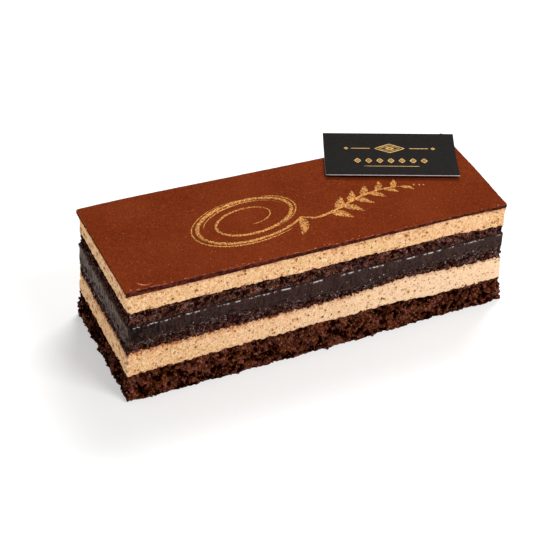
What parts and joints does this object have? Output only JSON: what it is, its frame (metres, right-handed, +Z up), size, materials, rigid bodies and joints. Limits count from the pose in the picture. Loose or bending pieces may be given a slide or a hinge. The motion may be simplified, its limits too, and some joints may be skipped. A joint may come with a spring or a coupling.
{
  "type": "opera cake",
  "caption": "Bar-shaped portion of layered coffee and chocolate cake with sponge, cream and ganache layers, a cocoa-red glaze and a small card lying on top.",
  "frame": {"origin": "middle of the flat base that the cake rests on", "axes": "+X along the length of the bar, +Y from the front cut face to the back, +Z up"},
  "size_m": [0.1233, 0.055, 0.0389],
  "materials": {
    "sponge": "open crumb of cocoa sponge, dry and rough",
    "soaked_sponge": "dark cocoa sponge, moist with syrup",
    "cream": "coffee butter cream, satin, with small air holes",
    "ganache": "dark ganache, smooth and glossy, with knife marks",
    "glaze": "red-brown cocoa glaze, matte and finely grained, with gold brush strokes",
    "gold": "dry-brushed edible gold",
    "card": "black printed card with pale cut edges and a gold ornament"
  },
  "bodies": {
    "root": {"sponge_bottom": "sponge", "cream_lower": "cream", "sponge_middle": "soaked_sponge", "ganache": "ganache", "sponge_upper": "soaked_sponge", "cream_upper": "cream", "glaze": "glaze", "topper_card": "card"}
  },
  "joints": []
}
